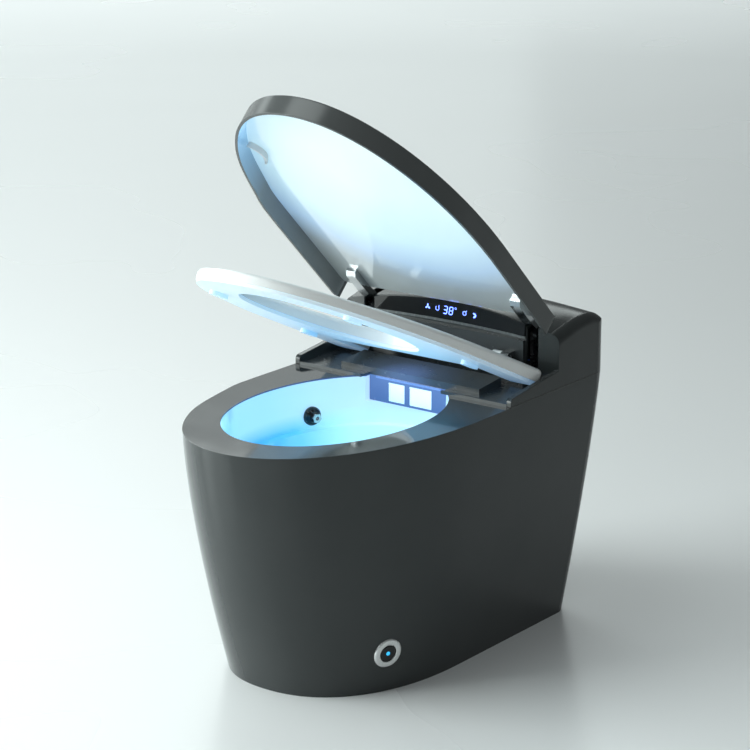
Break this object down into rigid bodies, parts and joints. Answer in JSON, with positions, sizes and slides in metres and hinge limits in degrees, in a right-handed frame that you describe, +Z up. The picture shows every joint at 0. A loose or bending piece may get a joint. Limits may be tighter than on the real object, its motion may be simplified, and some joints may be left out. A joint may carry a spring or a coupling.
{
  "type": "smart toilet",
  "caption": "floor-standing one-piece toilet with a dark glazed skirt, lit bowl, powered hinged lid and heated seat, sliding spray wand, air dryer flap and foot button",
  "frame": {"origin": "on the floor, midway along the length and width", "axes": "+Z up, the front faces -Y, +X is the side with the foot button"},
  "size_m": [0.4, 0.68, 0.8515],
  "materials": {
    "glaze": "gloss glaze",
    "glaze_white": "gloss glaze",
    "pipe": "smooth",
    "flange": "smooth",
    "seal": "soft",
    "chassis": "moulded",
    "screws": "plated",
    "housing": "gloss",
    "recess": "satin",
    "apron": "satin",
    "lamp": "lit diffuser",
    "lens": "black gloss",
    "trim": "satin",
    "circuit": "solder mask",
    "bracket": "coated steel",
    "axle": "ground",
    "drive": "coated",
    "duct": "moulded",
    "fan": "moulded",
    "heater": "moulded",
    "inlet": "machined",
    "valve": "moulded",
    "gland": "moulded",
    "nozzle_black": "gloss",
    "bright_metal": "plated",
    "lid_skin": "gloss",
    "lid_panel": "gloss",
    "arm": "plated",
    "soft_pad": "soft",
    "seat": "gloss",
    "wand": "gloss",
    "flap": "gloss",
    "button": "gloss",
    "foot_lamp": "lit dot"
  },
  "bodies": {
    "base": {"ceramic_skirt": "glaze", "ceramic_rim": "glaze", "ceramic_well": "glaze", "bowl_wall": "glaze_white", "bowl_basin": "glaze_white", "bowl_sump": "glaze_white", "trapway": "pipe", "outlet_flange": "flange", "outlet_seal": "seal", "chassis_tray": "chassis", "chassis_screws": "screws", "rear_housing": "housing", "recess_cover": "recess", "front_apron": "apron", "bowl_light": "lamp", "display_lens": "lens", "display_trim": "trim", "display_board": "circuit", "hinge_bracket_left": "bracket", "hinge_bracket_right": "bracket", "lid_axles": "axle", "lid_drive": "drive", "seat_ears": "recess", "seat_hinge_pins": "axle", "wand_rail": "chassis", "wand_motor": "drive", "dryer_duct": "duct", "dryer_blower": "duct", "deodoriser_fan": "fan", "instant_heater": "heater", "control_board": "circuit", "water_pump": "drive", "water_inlet": "inlet", "inlet_valve": "valve", "flush_valve": "valve", "power_gland": "gland", "foam_nozzle": "nozzle_black", "foam_nozzle_nut": "bright_metal", "foot_bezel": "bright_metal"},
    "lid": {"lid_shell": "lid_skin", "lid_inner_panel": "lid_panel", "lid_arm_left": "arm", "lid_arm_right": "arm", "lid_buffers": "soft_pad"},
    "seat": {"seat_upper": "seat", "seat_lower": "seat", "seat_bumpers": "soft_pad"},
    "wand": {"spray_wand": "wand", "wand_tip": "wand"},
    "wand_flap": {"nozzle_flap": "flap"},
    "air_flap": {"dryer_flap": "flap"},
    "button": {"foot_button": "button", "foot_light": "foot_lamp"}
  },
  "joints": [
    {"name": "lid_hinge", "type": "hinge", "parent": "base", "child": "lid", "pos_m": [0, 0.233, 0.45], "axis": [-1, 0, 0], "range_deg": [-44.45, 55.5]},
    {"name": "seat_hinge", "type": "hinge", "parent": "base", "child": "seat", "pos_m": [0, 0.185, 0.42], "axis": [-1, 0, 0], "range_deg": [-25.15, 31.38]},
    {"name": "wand_slide", "type": "slide", "parent": "base", "child": "wand", "axis": [0, -0.9877, -0.1564], "range_m": [0, 0.12]},
    {"name": "nozzle_flap_hinge", "type": "hinge", "parent": "base", "child": "wand_flap", "pos_m": [-0.024, 0.104, 0.37], "axis": [-1, 0, 0], "range_deg": [0, 88.2]},
    {"name": "dryer_flap_hinge", "type": "hinge", "parent": "base", "child": "air_flap", "pos_m": [0.0205, 0.104, 0.37], "axis": [-1, 0, 0], "range_deg": [0, 80]},
    {"name": "foot_button_slide", "type": "slide", "parent": "base", "child": "button", "axis": [-0.9203, 0.3645, 0.1422], "range_m": [0, 0.003], "stiffness_N_per_m": 900}
  ],
  "couplings": [
    {"joint": "seat_hinge", "follows": "lid_hinge", "ratio": 0.56355},
    {"joint": "nozzle_flap_hinge", "follows": "wand_slide", "rad_per_m": 12.799}
  ]
}
